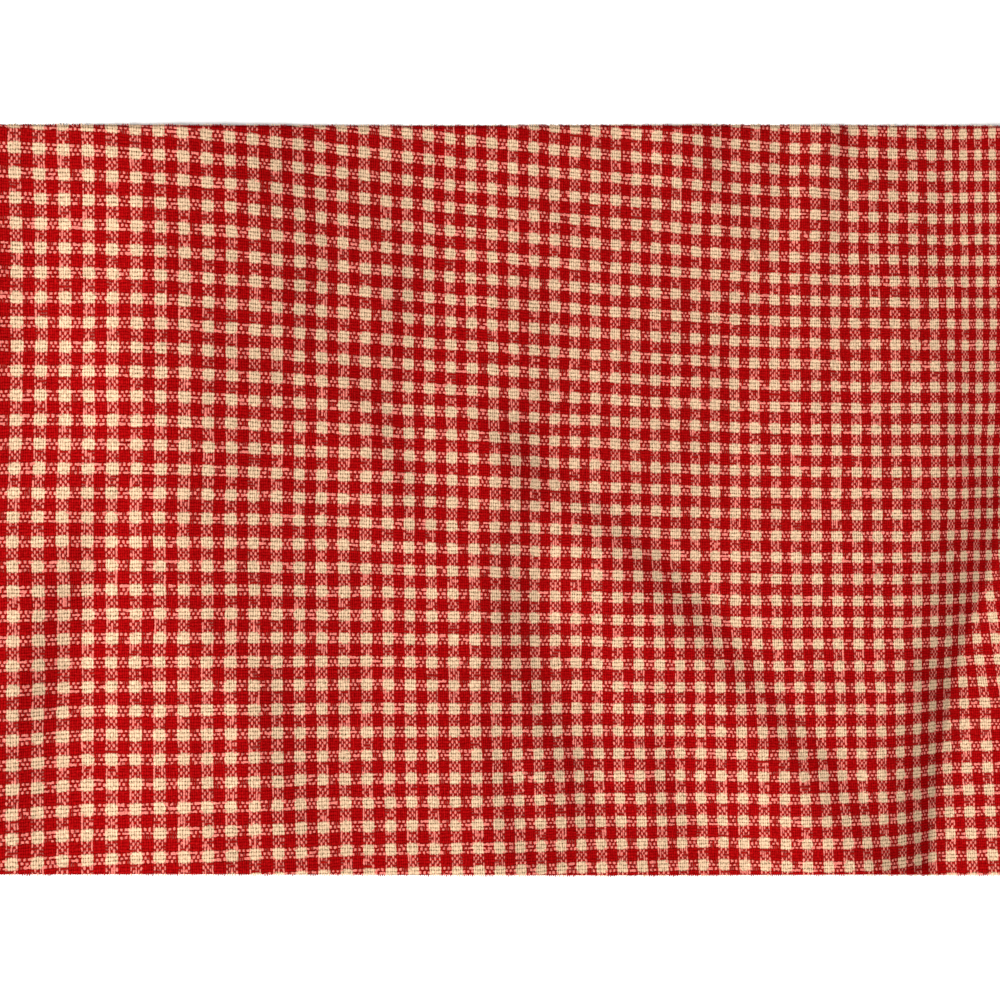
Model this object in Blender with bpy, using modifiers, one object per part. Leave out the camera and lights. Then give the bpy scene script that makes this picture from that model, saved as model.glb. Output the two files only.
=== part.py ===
"""A cut length of small gingham check, laid down with the folds it came with.

One sheet of cloth, raw cut on all four sides. X runs across along the rows, Y away
from the viewer along the columns, Z up. The underside is flat at Z = 0 wherever the
cloth touches what it lies on, and the folds lift it from there.
"""

import bpy
import bmesh
import numpy as np

for old in list(bpy.data.objects):
    bpy.data.objects.remove(old, do_unlink=True)

MM = 0.001

# Driving sizes, in millimetres.
THICKNESS = 1.0
WEST = -152.0
EAST = 152.0
FAR_AT_WEST = 86.9
FAR_AT_EAST = 115.9
NEAR_AT_WEST = -105.9
NEAR_AT_EAST = -114.5
# Each cut wavers in a slow wave, of this height, with a pitch along the cut and a start.
CUT_WAVER = 0.1
CUT_WAVES = {"west": (7.0, 1.0), "east": (8.0, 2.0), "near": (9.0, 0.0), "far": (11.0, 0.5)}
# How far a fold draws the cut in, for each millimetre that it lifts it.
NEAR_DRAWN_IN = 0.23
FAR_DRAWN_IN = 0.31
CELLS_ACROSS = {"field": 30, "rise": 9, "face": 11, "foot": 6}
CELLS_AWAY = 38
RISE_REACH = 42.0
LEAST_FOOT = 5.0
LEAST_FACE = 12.0

# Each fold runs along a path from the far side to the near side. A row of the path gives
# x, y, the height there, and how far the fold reaches to the west and the east, in these
# columns. Hardness is 0 where a flank flows out softly and 1 where it ends in a crease.
X, Y, HEIGHT, WEST_REACH, EAST_REACH = range(5)
FOLDS = (
    {
        "name": "main ridge",
        "west_hard": 0.2,
        "east_hard": 0.7,
        "path": (
            (144, 135, 0.8, 56, 42),
            (137, 104, 1.6, 58, 40),
            (130, 74, 3.1, 62, 42),
            (124, 44, 4.7, 66, 42),
            (119, 15, 5.5, 68, 38),
            (115, -14, 5.7, 68, 29),
            (111, -43, 5.5, 66, 22),
            (106, -72, 5.1, 62, 21),
            (104, -100, 5.1, 58, 20),
            (102, -130, 5.1, 54, 20),
        ),
    },
    {
        "name": "far corner lift",
        "west_hard": 0.0,
        "east_hard": 0.0,
        "path": (
            (172, 140, 4.6, 50, 40),
            (168, 100, 3.9, 47, 40),
            (164, 60, 2.9, 44, 40),
            (162, 25, 1.6, 38, 40),
            (160, -5, 0.0, 32, 40),
        ),
    },
    {
        "name": "east rise",
        "west_hard": 0.6,
        "east_hard": 0.0,
        "path": (
            (166, 5, 0.0, 19, 26),
            (163, -20, 2.1, 21, 26),
            (159, -55, 3.5, 24, 26),
            (155, -95, 3.9, 25, 26),
            (152, -130, 3.8, 26, 26),
        ),
    },
    {
        "name": "lower swell",
        "west_hard": 0.0,
        "east_hard": 0.5,
        "path": (
            (-22, 12, 0.0, 14, 10),
            (-12, 2, 0.6, 16, 12),
            (0, -9, 1.3, 19, 13),
            (22, -26, 1.9, 25, 14),
            (39, -42, 2.3, 30, 15),
            (57, -66, 2.3, 31, 16),
            (79, -91, 2.2, 31, 16),
            (95, -112, 1.7, 31, 15),
        ),
    },
    {
        "name": "west swell",
        "west_hard": 0.0,
        "east_hard": 0.0,
        "path": (
            (-98, 130, 0.6, 44, 76),
            (-99, 98, 2.0, 44, 76),
            (-101, 72, 4.9, 44, 76),
            (-103, 47, 6.4, 44, 76),
            (-104, 22, 6.8, 44, 76),
            (-100, -10, 5.0, 42, 69),
            (-94, -45, 4.2, 40, 59),
            (-90, -80, 3.9, 41, 57),
            (-86, -130, 3.3, 44, 58),
        ),
    },
    {
        "name": "middle swell",
        "west_hard": 0.0,
        "east_hard": 0.1,
        "path": (
            (-12, 98, 0.0, 66, 24),
            (-14, 60, 0.3, 70, 22),
            (-16, 20, 1.5, 72, 20),
            (-17, -12, 2.7, 72, 18),
            (-19, -45, 2.8, 72, 22),
            (-20, -72, 3.0, 70, 24),
            (-14, -100, 2.8, 66, 25),
            (-9, -130, 1.9, 66, 24),
        ),
    },
    {
        "name": "west edge roll",
        "west_hard": 0.0,
        "east_hard": 0.0,
        "path": (
            (-122, 10, 0.0, 23, 14),
            (-131, -14, 2.0, 24, 16),
            (-140, -48, 2.9, 24, 16),
            (-145, -78, 1.4, 24, 16),
            (-150, -104, 0.0, 24, 14),
        ),
    },
)
STEPS_ALONG = 60


def smooth_path(points):
    """The path's rows again, close together on a smooth curve through them."""
    rows = np.array(points, float)
    gaps = np.hypot(np.diff(rows[:, X]), np.diff(rows[:, Y]))
    along = np.concatenate([[0.0], np.cumsum(gaps)])
    slope = np.gradient(rows, along, axis=0)
    at = np.linspace(0.0, along[-1], STEPS_ALONG)
    i = np.clip(np.searchsorted(along, at, side="right") - 1, 0, len(along) - 2)
    gap = (along[i + 1] - along[i])[:, None]
    s = ((at - along[i]) / gap[:, 0])[:, None]
    start = (2 * s**3 - 3 * s**2 + 1) * rows[i] + (s**3 - 2 * s**2 + s) * gap * slope[i]
    end = (3 * s**2 - 2 * s**3) * rows[i + 1] + (s**3 - s**2) * gap * slope[i + 1]
    return start + end


def fold_height(fold, x, y):
    """How far one fold lifts the cloth at x, y."""
    line = smooth_path(fold["path"])
    nearest = np.full(x.shape, np.inf)
    lift = np.zeros(x.shape)
    for a, b in zip(line[:-1], line[1:]):
        run_x, run_y = b[X] - a[X], b[Y] - a[Y]
        t = np.clip(((x - a[X]) * run_x + (y - a[Y]) * run_y) / (run_x**2 + run_y**2), 0, 1)
        across = x - a[X] - t * run_x
        away = y - a[Y] - t * run_y
        distance = np.hypot(across, away)
        east = run_x * away - run_y * across > 0
        height, west_reach, east_reach = (a[k] + t * (b[k] - a[k]) for k in (HEIGHT, WEST_REACH, EAST_REACH))
        f = np.clip(distance / np.where(east, east_reach, west_reach), 0, 1)
        hard = np.where(east, fold["east_hard"], fold["west_hard"])
        soft_flank = 0.5 + 0.5 * np.cos(np.pi * f)
        hard_flank = 1 - f**2
        shape = height * ((1 - hard) * soft_flank + hard * hard_flank)
        closer = distance < nearest
        lift = np.where(closer, shape, lift)
        nearest = np.where(closer, distance, nearest)
    return np.maximum(lift, 0.0)


def underside(x, y):
    """The height of the cloth's underside above the ground."""
    return sum(fold_height(fold, x, y) for fold in FOLDS)


def waver(cut, along):
    pitch, start = CUT_WAVES[cut]
    return CUT_WAVER * np.sin(pitch * along + start)


def edges_at(across, away):
    """The west, east, near and far cuts as they lie flat, which waver a little."""
    west = WEST + waver("west", away)
    east = EAST + waver("east", away)
    near = NEAR_AT_WEST + (NEAR_AT_EAST - NEAR_AT_WEST) * across + waver("near", across)
    far = FAR_AT_WEST + (FAR_AT_EAST - FAR_AT_WEST) * across + waver("far", across)
    return west, east, near, far


def sheet_points(columns, rows):
    """x, y of every grid point. The columns follow the main ridge's crest and foot."""
    ridge = smooth_path(FOLDS[0]["path"])[::-1]
    away = rows / CELLS_AWAY
    guess = NEAR_AT_WEST + (FAR_AT_WEST - NEAR_AT_WEST) * away
    west, east, _, _ = edges_at(0.0, away)
    crest = np.interp(guess, ridge[:, Y], ridge[:, X])
    crest = np.minimum(crest, east - LEAST_FOOT - LEAST_FACE)
    foot = crest + np.interp(guess, ridge[:, Y], ridge[:, EAST_REACH])
    foot = np.minimum(foot, east - LEAST_FOOT)
    stations = (west, crest - RISE_REACH, crest, foot, east)
    counts = np.concatenate([[0], np.cumsum(list(CELLS_ACROSS.values()))])
    x = np.zeros(columns.shape)
    for k in range(len(CELLS_ACROSS)):
        s = (columns - counts[k]) / (counts[k + 1] - counts[k])
        inside = (s >= 0) & (s <= 1)
        x = np.where(inside, stations[k] + s * (stations[k + 1] - stations[k]), x)
    across = (x - WEST) / (EAST - WEST)
    _, _, near, far = edges_at(across, away)
    near = near + NEAR_DRAWN_IN * underside(x, near)
    far = far - FAR_DRAWN_IN * underside(x, far)
    return x, near + (far - near) * away


def cloth_sheet():
    """The open surface of the underside, before it gets its thickness."""
    cells = sum(CELLS_ACROSS.values())
    mesh = bpy.data.meshes.new("gingham_cloth")
    bm = bmesh.new()
    bmesh.ops.create_grid(bm, x_segments=cells, y_segments=CELLS_AWAY, size=0.5)
    flat = np.array([v.co for v in bm.verts])
    columns = np.rint((flat[:, 0] + 0.5) * cells)
    rows = np.rint((flat[:, 1] + 0.5) * CELLS_AWAY)
    x, y = sheet_points(columns, rows)
    z = underside(x, y)
    for v, px, py, pz in zip(bm.verts, x, y, z):
        v.co = (px * MM, py * MM, pz * MM)
    bmesh.ops.recalc_face_normals(bm, faces=bm.faces)
    if bm.faces[0].normal.z < 0:
        bmesh.ops.reverse_faces(bm, faces=bm.faces)
    bm.to_mesh(mesh)
    bm.free()
    return bpy.data.objects.new("gingham_cloth", mesh)


def woven_material():
    material = bpy.data.materials.new("red and cream gingham")
    material.use_nodes = True
    shader = material.node_tree.nodes["Principled BSDF"]
    shader.inputs["Base Color"].default_value = (0.55, 0.12, 0.08, 1.0)
    shader.inputs["Roughness"].default_value = 0.9
    return material


group = bpy.data.collections.new("gingham fabric")
bpy.context.scene.collection.children.link(group)
cloth = cloth_sheet()
group.objects.link(cloth)
thicken = cloth.modifiers.new("thickness", "SOLIDIFY")
thicken.thickness = THICKNESS * MM
thicken.offset = 1.0
cloth.data.materials.append(woven_material())
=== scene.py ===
"""A cut length of small red and cream gingham, lying in the folds that the photograph shows."""

import math

import bmesh
import bpy
import numpy as np
from mathutils import Matrix, Vector


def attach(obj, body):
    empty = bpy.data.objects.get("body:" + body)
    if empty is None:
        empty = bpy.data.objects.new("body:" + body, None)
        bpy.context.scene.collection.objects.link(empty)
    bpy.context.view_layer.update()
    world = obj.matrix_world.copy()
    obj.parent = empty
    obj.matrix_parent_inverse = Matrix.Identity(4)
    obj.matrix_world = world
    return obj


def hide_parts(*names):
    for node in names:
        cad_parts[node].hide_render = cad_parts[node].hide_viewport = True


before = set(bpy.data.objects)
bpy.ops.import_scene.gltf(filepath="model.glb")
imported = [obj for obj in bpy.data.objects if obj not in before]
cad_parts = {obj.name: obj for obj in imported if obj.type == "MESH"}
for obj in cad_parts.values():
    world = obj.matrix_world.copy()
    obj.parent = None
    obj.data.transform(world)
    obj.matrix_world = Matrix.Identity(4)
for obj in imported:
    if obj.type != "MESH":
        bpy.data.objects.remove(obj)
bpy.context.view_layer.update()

MM = 0.001
rng = np.random.default_rng(12)

# The cloth's outline, in millimetres, as in the part's own source.
WEST = -152.0
EAST = 152.0
FAR_AT_WEST = 86.9
FAR_AT_EAST = 115.9
NEAR_AT_WEST = -105.9
NEAR_AT_EAST = -114.5
# Each cut wavers in a slow wave, of this height, with a pitch along the cut and a start.
CUT_WAVER = 0.1
CUT_WAVES = {"west": (7.0, 1.0), "east": (8.0, 2.0), "near": (9.0, 0.0), "far": (11.0, 0.5)}
# How far a fold draws the cut in, for each millimetre that it lifts it.
NEAR_DRAWN_IN = 0.23
FAR_DRAWN_IN = 0.31
CLOTH_THICK = 0.4
CELLS_ACROSS = 250
CELLS_AWAY = 176

# The check: one red and one cream stripe to a repeat, in millimetres, and its threads.
REPEAT_ACROSS = 6.07
REPEAT_DOWN = 6.35
ENDS_RED = 5
ENDS_CREAM = 5
PICKS_RED = 4
PICKS_CREAM = 3
RED_SHARE_ACROSS = 0.48
RED_SHARE_DOWN = 0.51
# How square the full squares are: 2 is round, and a high number sharp cornered.
ROUNDNESS = 2.6
# The repeat count at the cloth's middle.
MIDDLE_ACROSS = 24.4
MIDDLE_DOWN = -7.1

# Each fold runs along a path from the far side to the near side. A row of the path gives
# x, y, the height there, and how far the fold reaches to the west and the east, in these
# columns. Hardness is 0 where a flank flows out softly and 1 where it ends in a crease.
X, Y, HEIGHT, WEST_REACH, EAST_REACH = range(5)
FOLDS = (
    {
        "name": "main ridge",
        "west_hard": 0.2,
        "east_hard": 0.7,
        "path": (
            (144, 135, 0.8, 56, 42),
            (137, 104, 1.6, 58, 40),
            (130, 74, 3.1, 62, 42),
            (124, 44, 4.7, 66, 42),
            (119, 15, 5.5, 68, 38),
            (115, -14, 5.7, 68, 29),
            (111, -43, 5.5, 66, 22),
            (106, -72, 5.1, 62, 21),
            (104, -100, 5.1, 58, 20),
            (102, -130, 5.1, 54, 20),
        ),
    },
    {
        "name": "far corner lift",
        "west_hard": 0.0,
        "east_hard": 0.0,
        "path": (
            (172, 140, 4.6, 50, 40),
            (168, 100, 3.9, 47, 40),
            (164, 60, 2.9, 44, 40),
            (162, 25, 1.6, 38, 40),
            (160, -5, 0.0, 32, 40),
        ),
    },
    {
        "name": "east rise",
        "west_hard": 0.6,
        "east_hard": 0.0,
        "path": (
            (166, 5, 0.0, 19, 26),
            (163, -20, 2.1, 21, 26),
            (159, -55, 3.5, 24, 26),
            (155, -95, 3.9, 25, 26),
            (152, -130, 3.8, 26, 26),
        ),
    },
    {
        "name": "lower swell",
        "west_hard": 0.0,
        "east_hard": 0.5,
        "path": (
            (-22, 12, 0.0, 14, 10),
            (-12, 2, 0.6, 16, 12),
            (0, -9, 1.3, 19, 13),
            (22, -26, 1.9, 25, 14),
            (39, -42, 2.3, 30, 15),
            (57, -66, 2.3, 31, 16),
            (79, -91, 2.2, 31, 16),
            (95, -112, 1.7, 31, 15),
        ),
    },
    {
        "name": "west swell",
        "west_hard": 0.0,
        "east_hard": 0.0,
        "path": (
            (-98, 130, 0.6, 44, 76),
            (-99, 98, 2.0, 44, 76),
            (-101, 72, 4.9, 44, 76),
            (-103, 47, 6.4, 44, 76),
            (-104, 22, 6.8, 44, 76),
            (-100, -10, 5.0, 42, 69),
            (-94, -45, 4.2, 40, 59),
            (-90, -80, 3.9, 41, 57),
            (-86, -130, 3.3, 44, 58),
        ),
    },
    {
        "name": "middle swell",
        "west_hard": 0.0,
        "east_hard": 0.1,
        "path": (
            (-12, 98, 0.0, 66, 24),
            (-14, 60, 0.3, 70, 22),
            (-16, 20, 1.5, 72, 20),
            (-17, -12, 2.7, 72, 18),
            (-19, -45, 2.8, 72, 22),
            (-20, -72, 3.0, 70, 24),
            (-14, -100, 2.8, 66, 25),
            (-9, -130, 1.9, 66, 24),
        ),
    },
    {
        "name": "west edge roll",
        "west_hard": 0.0,
        "east_hard": 0.0,
        "path": (
            (-122, 10, 0.0, 23, 14),
            (-131, -14, 2.0, 24, 16),
            (-140, -48, 2.9, 24, 16),
            (-145, -78, 1.4, 24, 16),
            (-150, -104, 0.0, 24, 14),
        ),
    },
)
# Small creases that only the cloth shows, on top of the folds.
CREASES = (
    {
        "name": "far crease",
        "west_hard": 0.0,
        "east_hard": 0.5,
        "path": (
            (84, 128, 1.2, 16, 9),
            (83, 90, 1.0, 16, 9),
            (82, 60, 0.5, 14, 8),
            (81, 30, 0.3, 14, 8),
            (80, 4, 0.0, 12, 8),
        ),
    },
    {
        "name": "far middle crease",
        "west_hard": 0.0,
        "east_hard": 0.2,
        "path": (
            (36, 130, 1.4, 24, 16),
            (40, 100, 1.1, 24, 16),
            (48, 80, 0.4, 22, 16),
            (52, 60, 0.0, 20, 14),
        ),
    },
    {
        "name": "slanting crease",
        "west_hard": 0.0,
        "east_hard": 0.0,
        "path": (
            (-66, 32, 0.0, 16, 13),
            (-54, 12, 0.7, 16, 13),
            (-43, -9, 1.0, 16, 13),
            (-34, -30, 0.0, 16, 12),
        ),
    },
    {
        "name": "far west streak",
        "west_hard": 0.0,
        "east_hard": 0.2,
        "path": (
            (-50, 74, 0.0, 14, 10),
            (-49, 58, 0.4, 14, 10),
            (-48, 42, 0.6, 14, 10),
            (-50, 28, 0.3, 14, 10),
            (-56, 14, 0.0, 12, 9),
        ),
    },
    {
        "name": "far west dent",
        "west_hard": 0.0,
        "east_hard": 0.2,
        "path": (
            (-88, 96, 0.3, 18, 16),
            (-82, 82, 0.6, 18, 16),
            (-76, 64, 0.6, 18, 16),
            (-75, 44, 0.4, 18, 14),
            (-76, 24, 0.0, 16, 12),
        ),
    },
    {
        "name": "lower dent",
        "west_hard": 0.0,
        "east_hard": 0.3,
        "path": (
            (-6, -50, 0.0, 13, 11),
            (-3, -62, 0.8, 13, 11),
            (1, -76, 1.4, 13, 12),
            (6, -92, 1.3, 13, 12),
            (12, -108, 0.0, 13, 11),
        ),
    },
    {
        "name": "lower east dent",
        "west_hard": 0.0,
        "east_hard": 0.3,
        "path": (
            (25, -52, 0.0, 13, 11),
            (29, -70, 0.7, 13, 11),
            (35, -92, 0.6, 12, 10),
            (40, -106, 0.0, 12, 10),
        ),
    },
    {
        "name": "lower west dent",
        "west_hard": 0.0,
        "east_hard": 0.3,
        "path": (
            (-84, -46, 0.0, 13, 13),
            (-80, -68, 0.7, 13, 14),
            (-77, -86, 0.9, 13, 14),
            (-72, -106, 0.0, 13, 13),
        ),
    },
    {
        "name": "lower middle crease",
        "west_hard": 0.2,
        "east_hard": 0.0,
        "path": (
            (-24, -52, 0.0, 7, 10),
            (-34, -58, 0.4, 7, 10),
            (-44, -65, 0.4, 7, 10),
            (-54, -73, 0.0, 7, 10),
        ),
    },
)
STEPS_ALONG = 60
# Low, slow waves all over: how many, their lengths, and the height of a wave of middle
# length. The cloth stays this far above the ground.
RIPPLES = 16
RIPPLE_LENGTHS = (16.0, 46.0)
RIPPLE_MIDDLE = 30.0
RIPPLE_HEIGHT = 0.035
LEAST_CLEARANCE = 0.02


def smooth_path(points):
    """The path's rows again, close together on a smooth curve through them."""
    rows = np.array(points, float)
    gaps = np.hypot(np.diff(rows[:, X]), np.diff(rows[:, Y]))
    along = np.concatenate([[0.0], np.cumsum(gaps)])
    slope = np.gradient(rows, along, axis=0)
    at = np.linspace(0.0, along[-1], STEPS_ALONG)
    i = np.clip(np.searchsorted(along, at, side="right") - 1, 0, len(along) - 2)
    gap = (along[i + 1] - along[i])[:, None]
    s = ((at - along[i]) / gap[:, 0])[:, None]
    start = (2 * s**3 - 3 * s**2 + 1) * rows[i] + (s**3 - 2 * s**2 + s) * gap * slope[i]
    end = (3 * s**2 - 2 * s**3) * rows[i + 1] + (s**3 - s**2) * gap * slope[i + 1]
    return start + end


def fold_height(fold, x, y):
    """How far one fold lifts the cloth at x, y."""
    line = smooth_path(fold["path"])
    nearest = np.full(x.shape, np.inf)
    lift = np.zeros(x.shape)
    for a, b in zip(line[:-1], line[1:]):
        run_x, run_y = b[X] - a[X], b[Y] - a[Y]
        t = np.clip(((x - a[X]) * run_x + (y - a[Y]) * run_y) / (run_x**2 + run_y**2), 0, 1)
        across = x - a[X] - t * run_x
        away = y - a[Y] - t * run_y
        distance = np.hypot(across, away)
        east = run_x * away - run_y * across > 0
        height, west_reach, east_reach = (a[k] + t * (b[k] - a[k]) for k in (HEIGHT, WEST_REACH, EAST_REACH))
        f = np.clip(distance / np.where(east, east_reach, west_reach), 0, 1)
        hard = np.where(east, fold["east_hard"], fold["west_hard"])
        soft_flank = 0.5 + 0.5 * np.cos(np.pi * f)
        hard_flank = 1 - f**2
        shape = height * ((1 - hard) * soft_flank + hard * hard_flank)
        closer = distance < nearest
        lift = np.where(closer, shape, lift)
        nearest = np.where(closer, distance, nearest)
    return np.maximum(lift, 0.0)


ripple_waves = [
    (
        2 * math.pi / rng.uniform(*RIPPLE_LENGTHS),
        rng.uniform(0, math.pi),
        rng.uniform(0, 2 * math.pi),
    )
    for _ in range(RIPPLES)
]


def ripple(x, y):
    wave = np.zeros(np.shape(x))
    for pitch, heading, start in ripple_waves:
        along = x * math.cos(heading) + y * math.sin(heading)
        wave = wave + np.sin(pitch * along + start) * 2 * math.pi / (RIPPLE_MIDDLE * pitch)
    return wave * RIPPLE_HEIGHT


def underside(x, y):
    """The height of the cloth's underside above the ground."""
    z = sum(fold_height(fold, x, y) for fold in FOLDS + CREASES)
    return np.maximum(z + ripple(x, y) + 3 * RIPPLE_HEIGHT, LEAST_CLEARANCE)


def waver(cut, along):
    pitch, start = CUT_WAVES[cut]
    return CUT_WAVER * np.sin(pitch * along + start)


def edges_at(across, away):
    """The west, east, near and far cuts as they lie flat, which waver a little."""
    west = WEST + waver("west", away)
    east = EAST + waver("east", away)
    near = NEAR_AT_WEST + (NEAR_AT_EAST - NEAR_AT_WEST) * across + waver("near", across)
    far = FAR_AT_WEST + (FAR_AT_EAST - FAR_AT_WEST) * across + waver("far", across)
    return west, east, near, far


# The length of cloth from its middle to each point, along the rows and along the columns,
# from a table of the surface at every millimetre.
TABLE_HALF_X = 175
TABLE_HALF_Y = 140
TABLE_X = np.arange(-TABLE_HALF_X, TABLE_HALF_X + 1.0)
TABLE_Y = np.arange(-TABLE_HALF_Y, TABLE_HALF_Y + 1.0)
table_z = underside(*np.meshgrid(TABLE_X, TABLE_Y))
cloth_along_x = np.cumsum(np.sqrt(1 + np.gradient(table_z, axis=1) ** 2), axis=1)
cloth_along_y = np.cumsum(np.sqrt(1 + np.gradient(table_z, axis=0) ** 2), axis=0)
cloth_along_x -= cloth_along_x[:, [TABLE_HALF_X]]
cloth_along_y -= cloth_along_y[[TABLE_HALF_Y], :]


def look_up(table, x, y):
    """The table's value between its points."""
    fx = np.clip(x - TABLE_X[0], 0, len(TABLE_X) - 1.001)
    fy = np.clip(y - TABLE_Y[0], 0, len(TABLE_Y) - 1.001)
    i, j = np.asarray(fx, int), np.asarray(fy, int)
    s, t = fx - i, fy - j
    low = table[j, i] * (1 - s) + table[j, i + 1] * s
    high = table[j + 1, i] * (1 - s) + table[j + 1, i + 1] * s
    return low * (1 - t) + high * t


def sheet_point(across, away):
    west, east, _, _ = edges_at(across, away)
    x = west + (east - west) * across
    _, _, near, far = edges_at((x - WEST) / (EAST - WEST), away)
    near = near + NEAR_DRAWN_IN * look_up(table_z, x, near)
    far = far - FAR_DRAWN_IN * look_up(table_z, x, far)
    return x, near + (far - near) * away


# How the weave lies off square: repeats gained across and down for each power of s and t,
# the places along the rows and the columns, which run from -1 to 1.
S_POWER, T_POWER, GAINED_ACROSS, GAINED_DOWN = range(4)
SKEW = (
    (0, 0, 0.08, -0.05),
    (1, 0, 0.13, -0.15),
    (0, 1, 0.54, -0.22),
    (2, 0, -0.23, 0.15),
    (1, 1, -0.11, 0.02),
    (0, 2, -0.18, 0.11),
    (3, 0, -0.41, 0.53),
    (2, 1, -0.12, 0.29),
    (1, 2, -0.27, -0.09),
    (0, 3, 0.13, 0.29),
)
HALF_ACROSS = 152.0
HALF_AWAY = 115.0
# Towards the far east corner the columns lie closer: repeats gained from the first x to the
# second, in full from the second y on. The gain grows by this power, up to this much.
GATHER = {"repeats": 1.9, "x": (120.0, 152.0), "y": (-60.0, 10.0), "power": 1.3, "most": 1.2}


def threads_at(x, y):
    """Which repeat lies at x, y: counted across, and down."""
    along_x = look_up(cloth_along_x, x, y)
    along_y = look_up(cloth_along_y, x, y)
    s, t = along_x / HALF_ACROSS, along_y / HALF_AWAY
    u = MIDDLE_ACROSS + along_x / REPEAT_ACROSS
    v = MIDDLE_DOWN - along_y / REPEAT_DOWN
    for row in SKEW:
        term = s ** row[S_POWER] * t ** row[T_POWER]
        u = u + row[GAINED_ACROSS] * term
        v = v + row[GAINED_DOWN] * term
    gather_x = np.clip((x - GATHER["x"][0]) / (GATHER["x"][1] - GATHER["x"][0]), 0, GATHER["most"])
    gather_y = np.clip((y - GATHER["y"][0]) / (GATHER["y"][1] - GATHER["y"][0]), 0, 1)
    u = u + GATHER["repeats"] * gather_x ** GATHER["power"] * gather_y
    return u, v


# Shader helpers.


def add_link(tree, value, socket):
    if hasattr(value, "is_output"):
        tree.links.new(value, socket)
    else:
        socket.default_value = value


def math_node(tree, operation, *values):
    node = tree.nodes.new("ShaderNodeMath")
    node.operation = operation
    for k, value in enumerate(values):
        add_link(tree, value, node.inputs[k])
    return node.outputs[0]


def mix_colour(tree, factor, a, b):
    node = tree.nodes.new("ShaderNodeMix")
    node.data_type = "RGBA"
    add_link(tree, factor, node.inputs["Factor"])
    add_link(tree, a, node.inputs[6])
    add_link(tree, b, node.inputs[7])
    return node.outputs[2]


def scaled_colour(tree, colour, scale):
    node = tree.nodes.new("ShaderNodeVectorMath")
    node.operation = "SCALE"
    add_link(tree, colour, node.inputs[0])
    add_link(tree, scale, node.inputs["Scale"])
    return node.outputs[0]


def mix_value(tree, factor, a, b):
    node = tree.nodes.new("ShaderNodeMix")
    node.data_type = "FLOAT"
    add_link(tree, factor, node.inputs["Factor"])
    add_link(tree, a, node.inputs[2])
    add_link(tree, b, node.inputs[3])
    return node.outputs[0]


def ramp_value(tree, value, low, high, start=0.0, end=1.0):
    """value runs smoothly from start to end as it goes from low to high."""
    node = tree.nodes.new("ShaderNodeMapRange")
    node.interpolation_type = "SMOOTHSTEP"
    for k, x in enumerate((value, low, high, start, end)):
        add_link(tree, x, node.inputs[k])
    return node.outputs[0]


def vector_of(tree, x, y, z=0.0):
    node = tree.nodes.new("ShaderNodeCombineXYZ")
    for k, value in enumerate((x, y, z)):
        add_link(tree, value, node.inputs[k])
    return node.outputs[0]


def noise_of(tree, vector, detail):
    node = tree.nodes.new("ShaderNodeTexNoise")
    node.inputs["Scale"].default_value = 1.0
    node.inputs["Detail"].default_value = detail
    add_link(tree, vector, node.inputs["Vector"])
    return node.outputs["Fac"]


def random_of(tree, x, y=0.0):
    node = tree.nodes.new("ShaderNodeTexWhiteNoise")
    node.noise_dimensions = "2D"
    add_link(tree, vector_of(tree, x, y), node.inputs["Vector"])
    return node.outputs["Value"]


def new_group(name, inputs, outputs):
    tree = bpy.data.node_groups.new(name, "ShaderNodeTree")
    for label, kind, value in inputs:
        socket = tree.interface.new_socket(label, in_out="INPUT", socket_type=kind)
        if value is not None:
            socket.default_value = value
    for label, kind in outputs:
        tree.interface.new_socket(label, in_out="OUTPUT", socket_type=kind)
    start, end = tree.nodes.new("NodeGroupInput"), tree.nodes.new("NodeGroupOutput")
    return tree, start.outputs, end.inputs


FLOAT, COLOUR, VECTOR = "NodeSocketFloat", "NodeSocketColor", "NodeSocketVector"
# How finely each unevenness varies: counts across and down a repeat, and its own slice of
# the noise.
FINENESS = {
    "warp drift": (0.35, 0.35, 1.0),
    "weft drift": (0.35, 0.35, 7.0),
    "warp wander": (6.0, 1.1, 3.0),
    "weft wander": (1.1, 5.0, 5.0),
    "square sides": (10.0, 8.0, 51.0),
    "crowding": (9.0, 8.0, 21.0),
    "warp width": (9.0, 6.0, 11.0),
    "weft width": (8.0, 6.0, 13.0),
    "speck_noise": (10.5, 10.0, 41.0),
}
# How far stripes drift, in repeats.
STRIPE_DRIFT = 0.09
# Where a full square fades out and is whole, as shares of the way to its side, and how
# ragged that side is.
SQUARE_FADE = (1.14, 0.92)
SQUARE_RAGGEDNESS = 1.3
# Widths are shares of a thread's place: how far threads differ from each other and along
# themselves, how soft their sides are, and how much they crowd each other in plain squares.
WIDTH_BETWEEN_THREADS = 0.08
WIDTH_ALONG_THREAD = 0.9
SIDE_SOFTNESS = 0.08
PLAIN_CROWDING = 0.15
# How much a thread's brightness changes from crossing to crossing, against thread to thread,
# and a step that gives each thread its own row of crossings.
CROSSING_SHARE = 0.7
CROSSING_STEP = 1.37
# Painted shade on a lower thread: how much of the gaps' shade colour it takes on where another
# thread covers it, and in cream squares instead.
COVERED_SHADE = 0.7
COVERED_SHADE_IN_CREAM = 0.5
# Painted shade on a thread on top: it is less lit by this much at its sides, sinks by this much
# at the ends of its float, where its colour darkens too, and takes on this much of the gaps'
# shade colour there.
SIDE_SHADE = 0.3
FLOAT_DIP = 0.5
SHADE_FROM_GAP = 0.5
# Painted shade in small pits and painted highlights on loose fibres, as ranges of one noise, and how much
# the highlights lighten the yarn.
PIT_SHADE = (0.42, 0.75)
FIBRE_HIGHLIGHTS = (0.42, 0.25)
FIBRE_HIGHLIGHT_GAIN = 0.3
FIBRE_COLOUR_SHARE = 0.04
# How high the lower thread lies, as a share of the upper one's height.
LOW_THREAD_HEIGHT = 0.25
# How strongly the threads' relief shows, and how deep it is in millimetres.
RELIEF_STRENGTH = 0.35
RELIEF_DEPTH = 0.12


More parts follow.
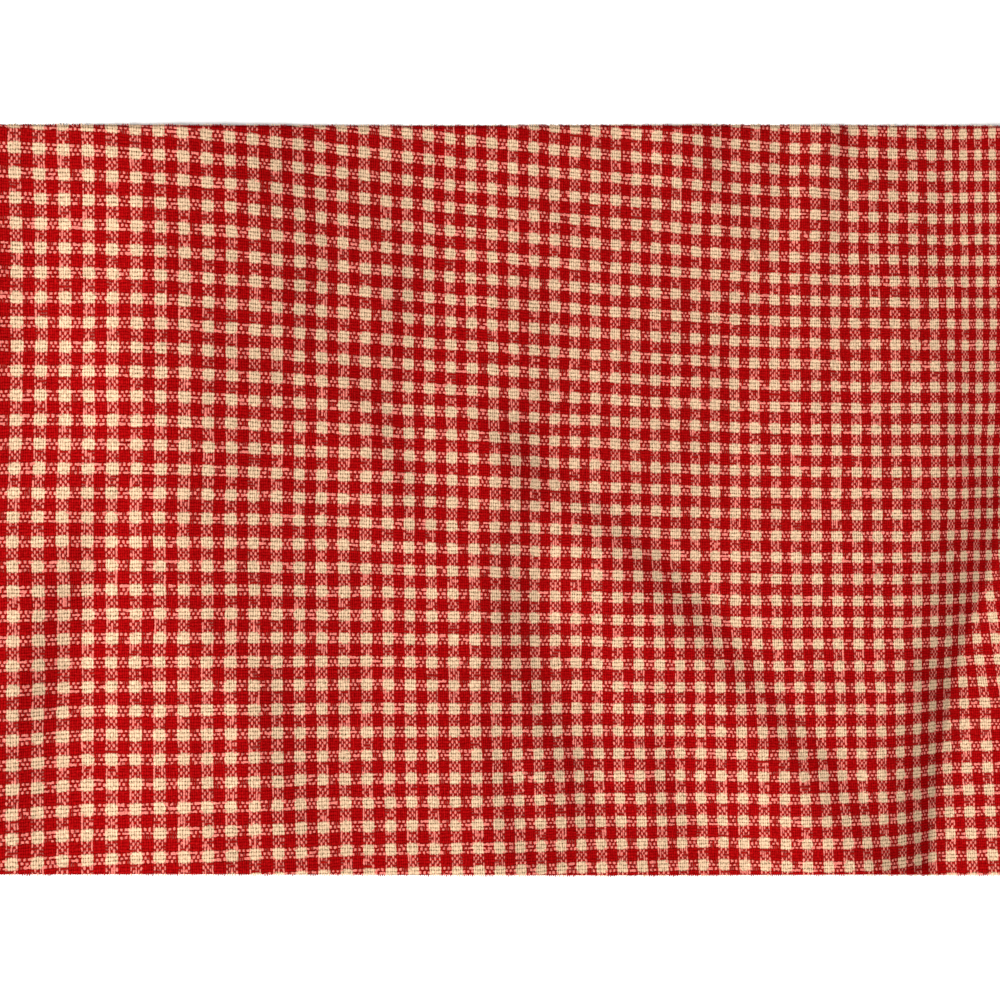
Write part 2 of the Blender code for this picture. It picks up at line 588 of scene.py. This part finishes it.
def thread_group():
    """Counts the threads one way: the thread's number, the place across it and whether it is red."""
    tree, given, out = new_group(
        "thread counter",
        (
            ("Repeats", FLOAT, 0.0),
            ("Red threads", FLOAT, 5.0),
            ("Cream threads", FLOAT, 5.0),
            ("Red share", FLOAT, 0.5),
        ),
        (("Number", FLOAT), ("Across", FLOAT), ("Red", FLOAT)),
    )
    share = given["Red share"]
    # A cream stripe's middle lies at a whole number of repeats.
    half_cream = math_node(tree, "MULTIPLY_ADD", share, 0.5, 0.5)
    moved = math_node(tree, "ADD", given["Repeats"], half_cream)
    whole = math_node(tree, "FLOOR", moved)
    part = math_node(tree, "FRACT", moved)
    red = math_node(tree, "LESS_THAN", part, share)
    in_red = math_node(tree, "MULTIPLY", math_node(tree, "DIVIDE", part, share), given["Red threads"])
    cream_share = math_node(tree, "SUBTRACT", 1.0, share)
    past_red = math_node(tree, "DIVIDE", math_node(tree, "SUBTRACT", part, share), cream_share)
    in_cream = math_node(tree, "MULTIPLY_ADD", past_red, given["Cream threads"], given["Red threads"])
    thread = mix_value(tree, red, in_cream, in_red)
    each = math_node(tree, "ADD", given["Red threads"], given["Cream threads"])
    count = math_node(tree, "MULTIPLY_ADD", whole, each, thread)
    add_link(tree, math_node(tree, "FLOOR", count), out["Number"])
    across = math_node(tree, "MULTIPLY_ADD", math_node(tree, "FRACT", count), 2.0, -1.0)
    add_link(tree, across, out["Across"])
    add_link(tree, red, out["Red"])
    return tree


def weave_group(counter):
    """The woven surface: its colour, with painted shade and painted highlights, and its relief."""
    tree, given, out = new_group(
        "gingham weave",
        (
            ("Threads", VECTOR, None),
            ("Red", COLOUR, (0.43, 0.003, 0.004, 1.0)),
            ("Cream", COLOUR, (1.0, 0.66, 0.43, 1.0)),
            ("Cream by red", COLOUR, (1.0, 0.26, 0.21, 1.0)),
            ("Red by cream", COLOUR, (0.36, 0.006, 0.004, 1.0)),
            ("Shade in cream gaps", COLOUR, (0.06, 0.04, 0.007, 1.0)),
            ("Shade in red gaps", COLOUR, (0.1, 0.0004, 0.0002, 1.0)),
            ("Warp width", FLOAT, 0.725),
            ("Weft width", FLOAT, 0.68),
            ("Thinner in mixed", FLOAT, 0.06),
            ("Waver", FLOAT, 0.1),
            ("Unevenness", FLOAT, 0.25),
            ("Mottle", FLOAT, 1.3),
            ("Slips", FLOAT, 0.12),
            ("Pit shade and fibre light", FLOAT, 0.5),
        ),
        (("Color", COLOUR), ("Height", FLOAT)),
    )
    split = tree.nodes.new("ShaderNodeSeparateXYZ")
    add_link(tree, given["Threads"], split.inputs[0])
    u, v = split.outputs[0], split.outputs[1]

    def uneven(name, detail=1.0):
        across, down, part = FINENESS[name]
        u_fine = math_node(tree, "MULTIPLY", u, across)
        v_fine = math_node(tree, "MULTIPLY", v, down)
        return noise_of(tree, vector_of(tree, u_fine, v_fine, part), detail)

    def centred(value, amount):
        return math_node(tree, "MULTIPLY", math_node(tree, "SUBTRACT", value, 0.5), amount)

    # Stripes drift slowly, by parts of a repeat, and each thread wanders by itself.
    u_drift = centred(uneven("warp drift"), STRIPE_DRIFT)
    v_drift = centred(uneven("weft drift"), STRIPE_DRIFT)
    u_wander = centred(uneven("warp wander"), given["Waver"])
    v_wander = centred(uneven("weft wander"), given["Waver"])
    u_here = math_node(tree, "ADD", u, math_node(tree, "ADD", u_drift, u_wander))
    v_here = math_node(tree, "ADD", v, math_node(tree, "ADD", v_drift, v_wander))

    def count(repeats, red, cream, share):
        node = tree.nodes.new("ShaderNodeGroup")
        node.node_tree = counter
        add_link(tree, repeats, node.inputs["Repeats"])
        node.inputs["Red threads"].default_value = red
        node.inputs["Cream threads"].default_value = cream
        node.inputs["Red share"].default_value = share
        return node.outputs

    warp = count(u_here, ENDS_RED, ENDS_CREAM, RED_SHARE_ACROSS)
    weft = count(v_here, PICKS_RED, PICKS_CREAM, RED_SHARE_DOWN)
    # Over and under in turn, but some crossings are so squeezed that the other thread shows.
    slip = math_node(tree, "LESS_THAN", random_of(tree, warp["Number"], weft["Number"]), given["Slips"])
    parity = math_node(tree, "ADD", math_node(tree, "ADD", warp["Number"], weft["Number"]), slip)
    warp_up = math_node(tree, "LESS_THAN", math_node(tree, "FLOORED_MODULO", parity, 2.0), 0.5)
    some_red = math_node(tree, "MAXIMUM", warp["Red"], weft["Red"])
    all_red = math_node(tree, "MULTIPLY", warp["Red"], weft["Red"])
    mixed = math_node(tree, "SUBTRACT", some_red, all_red)
    # Painted shade: the dark colour of the holes between the threads, towards which the marks below darken
    # the yarn.
    gap = mix_colour(tree, some_red, given["Shade in cream gaps"], given["Shade in red gaps"])
    # The full squares have round, ragged corners, past which the colours mix as in the half tones.
    rough_side = centred(uneven("square sides", 2.0), SQUARE_RAGGEDNESS)

    def full_square(u_middle, v_middle, u_share, v_share):
        """1 in the squares of one colour and 0 outside them."""
        u_off = math_node(tree, "PINGPONG", math_node(tree, "SUBTRACT", u_here, u_middle), 0.5)
        v_off = math_node(tree, "PINGPONG", math_node(tree, "SUBTRACT", v_here, v_middle), 0.5)
        u_part = math_node(tree, "POWER", math_node(tree, "DIVIDE", u_off, 0.5 * u_share), ROUNDNESS)
        v_part = math_node(tree, "POWER", math_node(tree, "DIVIDE", v_off, 0.5 * v_share), ROUNDNESS)
        far = math_node(tree, "POWER", math_node(tree, "ADD", u_part, v_part), 1.0 / ROUNDNESS)
        return ramp_value(tree, math_node(tree, "ADD", far, rough_side), *SQUARE_FADE)

    in_cream = full_square(0.0, 0.0, 1.0 - RED_SHARE_ACROSS, 1.0 - RED_SHARE_DOWN)
    in_red = full_square(0.5, 0.5, RED_SHARE_ACROSS, RED_SHARE_DOWN)
    # Where red crosses cream the threads crowd each other and part.
    ragged = centred(uneven("crowding", 2.0), 1.0)
    crowded = math_node(tree, "MULTIPLY_ADD", mixed, given["Mottle"], PLAIN_CROWDING)
    crowding = math_node(tree, "MULTIPLY", ragged, crowded)

    def width_of(number, name, middle):
        own = centred(random_of(tree, number, FINENESS[name][2]), WIDTH_BETWEEN_THREADS)
        along = centred(uneven(name, 2.0), WIDTH_ALONG_THREAD)
        return math_node(tree, "ADD", middle, math_node(tree, "ADD", own, along))

    thinner = math_node(tree, "MULTIPLY", mixed, given["Thinner in mixed"])
    warp_middle = math_node(tree, "SUBTRACT", given["Warp width"], thinner)
    weft_middle = math_node(tree, "SUBTRACT", given["Weft width"], thinner)
    warp_own = width_of(warp["Number"], "warp width", warp_middle)
    weft_own = width_of(weft["Number"], "weft width", weft_middle)
    warp_width = math_node(tree, "ADD", warp_own, crowding)
    weft_width = math_node(tree, "SUBTRACT", weft_own, crowding)

    def cover(across, width):
        """1 on the thread and 0 past its side."""
        far = math_node(tree, "ABSOLUTE", across)
        outside = math_node(tree, "ADD", width, SIDE_SOFTNESS)
        inside = math_node(tree, "SUBTRACT", width, SIDE_SOFTNESS)
        return ramp_value(tree, far, outside, inside)

    on_warp = cover(warp["Across"], warp_width)
    on_weft = cover(weft["Across"], weft_width)

    def thread_colour(own_red, number, part):
        cream = mix_colour(tree, in_cream, given["Cream by red"], given["Cream"])
        red = mix_colour(tree, in_red, given["Red by cream"], given["Red"])
        colour = mix_colour(tree, own_red, cream, red)
        own = random_of(tree, number, part)
        cell = random_of(tree, parity, math_node(tree, "MULTIPLY", number, CROSSING_STEP))
        both = mix_value(tree, CROSSING_SHARE, own, cell)
        dim = math_node(tree, "SUBTRACT", 1.0, math_node(tree, "MULTIPLY", both, given["Unevenness"]))
        return scaled_colour(tree, colour, dim)

    warp_colour = thread_colour(warp["Red"], warp["Number"], 17.0)
    weft_colour = thread_colour(weft["Red"], weft["Number"], 19.0)

    def round_side(across, width):
        far = math_node(tree, "DIVIDE", across, width)
        square = math_node(tree, "MULTIPLY", far, far)
        return math_node(tree, "SUBTRACT", 1.0, math_node(tree, "MINIMUM", square, 1.0))

    def dip(along):
        """A thread that is on top sinks towards both ends of its float, in the relief and as painted shade
        in its colour.
        """
        square = math_node(tree, "MULTIPLY", along, along)
        return math_node(tree, "SUBTRACT", 1.0, math_node(tree, "MULTIPLY", square, FLOAT_DIP))

    warp_round = round_side(warp["Across"], warp_width)
    weft_round = round_side(weft["Across"], weft_width)
    top_cover = mix_value(tree, warp_up, on_weft, on_warp)
    low_cover = mix_value(tree, warp_up, on_warp, on_weft)
    top_colour = mix_colour(tree, warp_up, weft_colour, warp_colour)
    low_colour = mix_colour(tree, warp_up, warp_colour, weft_colour)
    # Painted shade: the lower thread darkens towards the gaps' shade colour, and bare gaps show that colour.
    low_shade_share = mix_value(tree, in_cream, COVERED_SHADE, COVERED_SHADE_IN_CREAM)
    low_in_shade = mix_colour(tree, low_shade_share, low_colour, gap)
    under = mix_colour(tree, low_cover, gap, low_in_shade)
    # Painted shade: the top thread's colour darkens towards the gaps' shade colour at its sides and towards
    # the ends of its float.
    top_round = mix_value(tree, warp_up, weft_round, warp_round)
    top_dip = mix_value(tree, warp_up, dip(warp["Across"]), dip(weft["Across"]))
    side_light = math_node(tree, "MULTIPLY_ADD", top_round, SIDE_SHADE, 1.0 - SIDE_SHADE)
    lit = math_node(tree, "MULTIPLY", side_light, top_dip)
    shaded = mix_colour(tree, lit, mix_colour(tree, SHADE_FROM_GAP, top_colour, gap), top_colour)
    woven = mix_colour(tree, top_cover, under, shaded)
    # Painted shade darkens the yarn towards the gaps' shade colour in small pits here and there, and painted
    # highlights on loose fibres lighten it.
    speck_noise = uneven("speck_noise", 2.0)
    pit_shading = math_node(tree, "MULTIPLY", ramp_value(tree, speck_noise, *PIT_SHADE), given["Pit shade and fibre light"])
    fibre_highlighting = math_node(tree, "MULTIPLY", ramp_value(tree, speck_noise, *FIBRE_HIGHLIGHTS), given["Pit shade and fibre light"])
    lighter = scaled_colour(tree, woven, math_node(tree, "MULTIPLY_ADD", fibre_highlighting, FIBRE_HIGHLIGHT_GAIN, 1.0))
    fibre = math_node(tree, "MULTIPLY", fibre_highlighting, FIBRE_COLOUR_SHARE)
    highlighted_fibres = mix_colour(tree, fibre, lighter, given["Cream by red"])
    add_link(tree, mix_colour(tree, pit_shading, highlighted_fibres, gap), out["Color"])
    high = math_node(tree, "MULTIPLY", math_node(tree, "MULTIPLY", top_round, top_dip), top_cover)
    low = math_node(tree, "MULTIPLY", low_cover, LOW_THREAD_HEIGHT)
    add_link(tree, math_node(tree, "MAXIMUM", high, low), out["Height"])
    return tree


def new_material(name, roughness):
    material = bpy.data.materials.new(name)
    material.use_nodes = True
    shader = material.node_tree.nodes["Principled BSDF"]
    shader.inputs["Roughness"].default_value = roughness
    shader.inputs["Specular IOR Level"].default_value = 0.0
    return material, material.node_tree, shader


def cloth_material():
    material, tree, shader = new_material("red and cream gingham", 0.92)
    weave = tree.nodes.new("ShaderNodeGroup")
    weave.node_tree = weave_group(thread_group())
    place = tree.nodes.new("ShaderNodeUVMap")
    place.uv_map = "threads"
    add_link(tree, place.outputs[0], weave.inputs["Threads"])
    add_link(tree, weave.outputs["Color"], shader.inputs["Base Color"])
    bump = tree.nodes.new("ShaderNodeBump")
    bump.inputs["Strength"].default_value = RELIEF_STRENGTH
    bump.inputs["Distance"].default_value = RELIEF_DEPTH * MM
    add_link(tree, weave.outputs["Height"], bump.inputs["Height"])
    add_link(tree, bump.outputs[0], shader.inputs["Normal"])
    return material


def plain_material(name, colour, roughness=0.9):
    material, _, shader = new_material(name, roughness)
    shader.inputs["Base Color"].default_value = (*colour, 1.0)
    return material


def link_piece(piece, material):
    bpy.context.scene.collection.objects.link(piece)
    piece.data.materials.append(material)
    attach(piece, "root")
    return piece


def make_cloth():
    mesh = bpy.data.meshes.new("cloth")
    bm = bmesh.new()
    bmesh.ops.create_grid(bm, x_segments=CELLS_ACROSS, y_segments=CELLS_AWAY, size=0.5)
    flat = np.array([v.co for v in bm.verts])
    x, y = sheet_point(flat[:, 0] + 0.5, flat[:, 1] + 0.5)
    z = underside(x, y)
    for v, px, py, pz in zip(bm.verts, x, y, z):
        v.co = (px * MM, py * MM, pz * MM)
    bm.to_mesh(mesh)
    bm.free()
    u, v = threads_at(x, y)
    layer = mesh.uv_layers.new(name="threads")
    corner = np.zeros(len(mesh.loops), int)
    mesh.loops.foreach_get("vertex_index", corner)
    layer.data.foreach_set("uv", np.stack([u[corner], v[corner]], axis=1).astype(np.float32).ravel())
    mesh.polygons.foreach_set("use_smooth", [True] * len(mesh.polygons))
    cloth = link_piece(bpy.data.objects.new("cloth", mesh), cloth_material())
    thicken = cloth.modifiers.new("thickness", "SOLIDIFY")
    thicken.thickness = CLOTH_THICK * MM
    thicken.offset = 1.0
    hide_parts("gingham_cloth")
    return cloth


STEPS_ALONG_CUT = 600
# A thread's end, in millimetres: its radius, how far it starts inside the cut, how far it
# stands out, its height in the cloth and how much its tip sinks.
END_RADIUS = 0.16
END_INSIDE = 0.5
END_REACH = (0.1, 0.5)
END_HEIGHT = 0.2
END_SINK = 0.06
# How much it leans aside for its reach, how it curves there, and its points past the cut.
END_LEAN = 0.28
END_CURVE = 1.5
END_POINTS = (0.0, 0.55, 1.0)


def strand_curve(name, strands, material):
    """Fine strands as one curve piece, each a list of points in millimetres."""
    curve = bpy.data.curves.new(name, "CURVE")
    curve.dimensions = "3D"
    curve.bevel_depth = END_RADIUS * MM
    curve.bevel_resolution = 0
    curve.resolution_u = 1
    curve.use_fill_caps = True
    for points in strands:
        spline = curve.splines.new("POLY")
        spline.points.add(len(points) - 1)
        for at, (x, y, z) in zip(spline.points, points):
            at.co = (x * MM, y * MM, z * MM, 1.0)
    return link_piece(bpy.data.objects.new(name, curve), material)


red_yarn = plain_material("red yarn", (0.3, 0.004, 0.005))
cream_yarn = plain_material("cream yarn", (0.7, 0.47, 0.29))


def cut_ends():
    """The threads' ends that stand out past the cuts, sorted into red and cream."""
    found = {True: [], False: []}
    steps = np.linspace(0.0, 1.0, STEPS_ALONG_CUT)
    start, end = np.zeros(STEPS_ALONG_CUT), np.ones(STEPS_ALONG_CUT)
    # Near, far, west and east: the places along each cut, and which way is out.
    cuts = (
        (steps, start, (0, -1)),
        (steps, end, (0, 1)),
        (start, steps, (-1, 0)),
        (end, steps, (1, 0)),
    )
    for across, away, out in cuts:
        x, y = sheet_point(across, away)
        u, v = threads_at(x, y)
        lengthwise = out[0] == 0
        count = u if lengthwise else -v
        red, cream = (ENDS_RED, ENDS_CREAM) if lengthwise else (PICKS_RED, PICKS_CREAM)
        share = RED_SHARE_ACROSS if lengthwise else RED_SHARE_DOWN
        for whole in range(int(count.min()) - 1, int(count.max()) + 2):
            for k in range(red + cream):
                is_red = k < red
                in_red = share * (k + 0.5) / red
                in_cream = share + (1 - share) * (k - red + 0.5) / cream
                part = in_red if is_red else in_cream
                place = whole + part - (0.5 + 0.5 * share)
                if not count.min() < place < count.max():
                    continue
                px, py = np.interp(place, count, x), np.interp(place, count, y)
                reach, lean = rng.uniform(*END_REACH), rng.normal(0, END_LEAN)
                lift = float(look_up(table_z, px, py))
                strand = []
                for part_out in (-END_INSIDE, *END_POINTS):
                    d = part_out * reach if part_out > 0 else part_out
                    side = lean * max(part_out, 0.0) ** END_CURVE * reach
                    sx = px + out[0] * d + (side if lengthwise else 0)
                    sy = py + out[1] * d + (0 if lengthwise else side)
                    strand.append((sx, sy, lift + END_HEIGHT - END_SINK * max(part_out, 0)))
                found[is_red].append(strand)
    return found


cloth = make_cloth()
ends = cut_ends()
ends_red = strand_curve("cut_ends_red", ends[True], red_yarn)
ends_cream = strand_curve("cut_ends_cream", ends[False], cream_yarn)

# The floor's half width and the light are in metres, the floor's drop in millimetres.
FLOOR_HALF_WIDTH = 3.0
FLOOR_DROP = 0.05
KEY = {"at": (-2.14, -0.95, 1.85), "size": 0.95, "power": 168.0, "colour": (1.0, 0.99, 0.97)}
WORLD_STRENGTH = 0.2
SENSOR_WIDTH = 36.0
# The focal length, as a share of the picture's width.
FOCAL_SHARE = 1.444
# The camera's place in millimetres, and the ways to its right and its top.
CAMERA_AT = (-108.15, -19.98, 393.1)
CAMERA_RIGHT = Vector((0.97105, 0.02586, 0.23746))
CAMERA_UP = Vector((-0.03349, 0.99904, 0.02813))

floor_mesh = bpy.data.meshes.new("floor")
bm = bmesh.new()
bmesh.ops.create_grid(bm, x_segments=1, y_segments=1, size=FLOOR_HALF_WIDTH)
bm.to_mesh(floor_mesh)
bm.free()
floor = bpy.data.objects.new("floor", floor_mesh)
floor.location.z = -FLOOR_DROP * MM
bpy.context.scene.collection.objects.link(floor)
floor_mesh.materials.append(plain_material("pale floor", (0.95, 0.95, 0.95), 0.8))

key_data = bpy.data.lights.new("key", "AREA")
key_data.size = KEY["size"]
key_data.energy = KEY["power"]
key_data.color = KEY["colour"]
key = bpy.data.objects.new("key", key_data)
key.location = KEY["at"]
key.rotation_euler = (-Vector(KEY["at"])).to_track_quat("-Z", "Y").to_euler()
bpy.context.scene.collection.objects.link(key)

world = bpy.context.scene.world or bpy.data.worlds.new("studio")
bpy.context.scene.world = world
world.use_nodes = True
world.node_tree.nodes["Background"].inputs[0].default_value = (1.0, 1.0, 1.0, 1.0)
world.node_tree.nodes["Background"].inputs[1].default_value = WORLD_STRENGTH

camera_data = bpy.data.cameras.new("camera")
camera_data.sensor_width = SENSOR_WIDTH
camera_data.lens = FOCAL_SHARE * SENSOR_WIDTH
camera = bpy.data.objects.new("camera", camera_data)
bpy.context.scene.collection.objects.link(camera)
back = CAMERA_RIGHT.cross(CAMERA_UP).normalized()
up = back.cross(CAMERA_RIGHT).normalized()
right = up.cross(back).normalized()
turn = Matrix((right, up, back)).transposed()
camera.matrix_world = Matrix.Translation(Vector(CAMERA_AT) * MM) @ turn.to_4x4()
bpy.context.scene.camera = camera
bpy.context.scene.view_settings.view_transform = "Standard"
